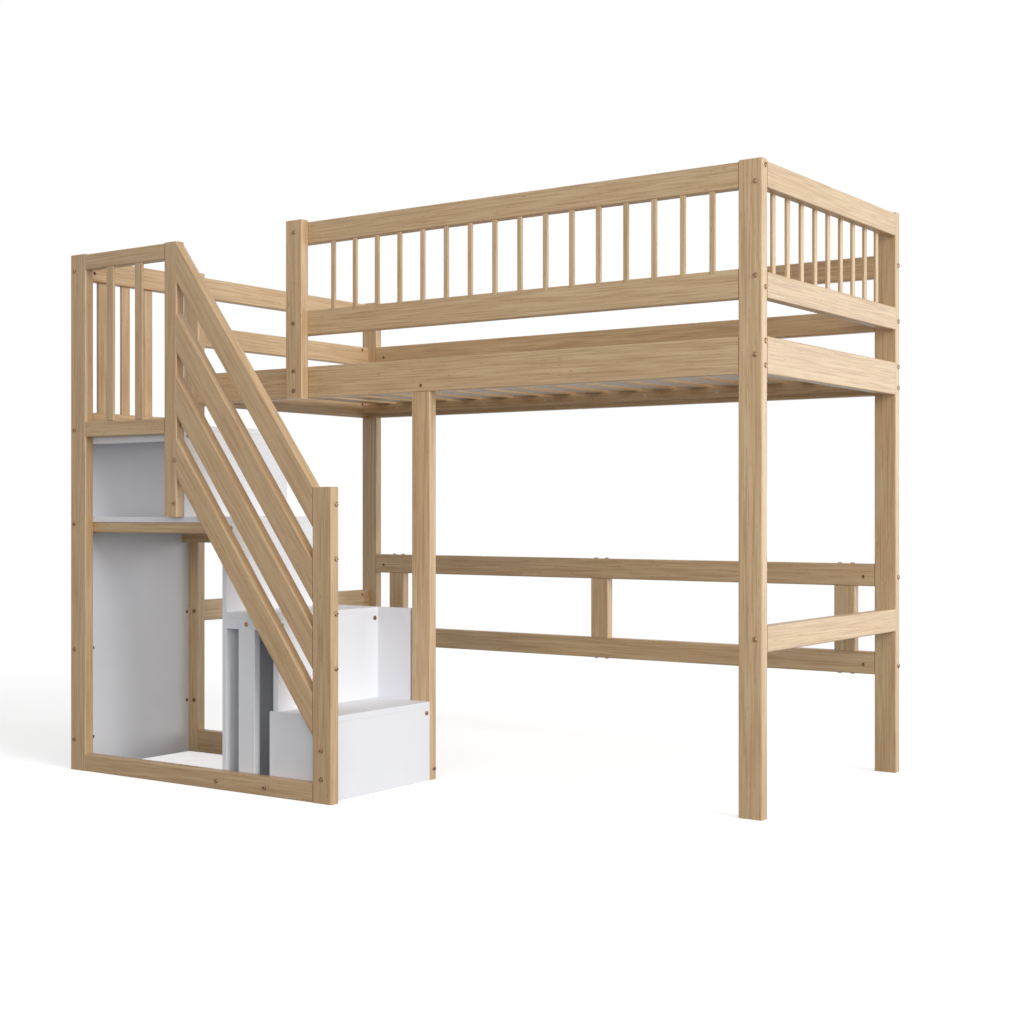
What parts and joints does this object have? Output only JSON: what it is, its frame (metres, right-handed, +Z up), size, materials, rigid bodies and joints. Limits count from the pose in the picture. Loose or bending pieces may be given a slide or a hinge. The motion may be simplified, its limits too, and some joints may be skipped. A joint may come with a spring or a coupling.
{
  "type": "loft bed with storage stairs",
  "caption": "loft bed in pale wood on tall legs, with slatted guard rails, a stair of white storage boxes at its front left corner and sloping stair rails",
  "frame": {"origin": "bottom centre of the whole footprint, on the floor", "axes": "+X along the bed, away from the stair's landing; +Y from the front to the back; +Z up"},
  "size_m": [2.006, 1.345, 1.611],
  "materials": {
    "wood": "satin",
    "slat_wood": "matte",
    "dowel_wood": "matte",
    "white_board": "satin",
    "bronze_steel": "satin",
    "zinc_steel": "satin"
  },
  "bodies": {
    "root": {"leg_front_right": "wood", "leg_back_right": "wood", "leg_back_left": "wood", "leg_front_left": "wood", "leg_front_middle": "wood", "guard_post": "wood", "beam_front": "wood", "beam_back": "wood", "beam_left": "wood", "beam_right": "wood", "guard_rail_front_top": "wood", "guard_rail_front_middle": "wood", "guard_spindles_front": "wood", "guard_rail_right_top": "wood", "guard_rail_right_middle": "wood", "guard_spindles_right": "wood", "back_rails": "wood", "left_rails": "wood", "brace_left": "wood", "brace_right": "wood", "back_braces": "wood", "back_brace_blocks": "wood", "stair_post_left": "wood", "stair_post_middle": "wood", "stair_post_right": "wood", "landing_rail_front_top": "wood", "landing_rail_front_low": "wood", "landing_balusters_front": "wood", "landing_rail_side_top": "wood", "landing_rail_side_low": "wood", "landing_balusters_side": "wood", "stair_rail_1": "wood", "stair_rail_2": "wood", "stair_rail_3": "wood", "stair_rail_4": "wood", "stair_bottom_rail_front": "wood", "stair_bottom_rail_back": "wood", "shelf_rail_front": "wood", "shelf_rail_back": "wood", "ledgers": "slat_wood", "slats": "slat_wood", "side_panel_left": "white_board", "landing_board": "white_board", "landing_cleats": "white_board", "shelf_board": "white_board", "riser_top": "white_board", "divider_panel": "white_board", "riser_low": "white_board", "tread_2": "white_board", "tread_cleat_front": "white_board", "back_cleats": "white_board", "storage_post": "white_board", "back_panel": "white_board", "step_1_top": "white_board", "step_1_front": "white_board", "step_1_sides": "white_board", "bolts": "bronze_steel", "barrel_nuts": "bronze_steel", "screws": "zinc_steel", "dowels": "dowel_wood"}
  },
  "joints": []
}
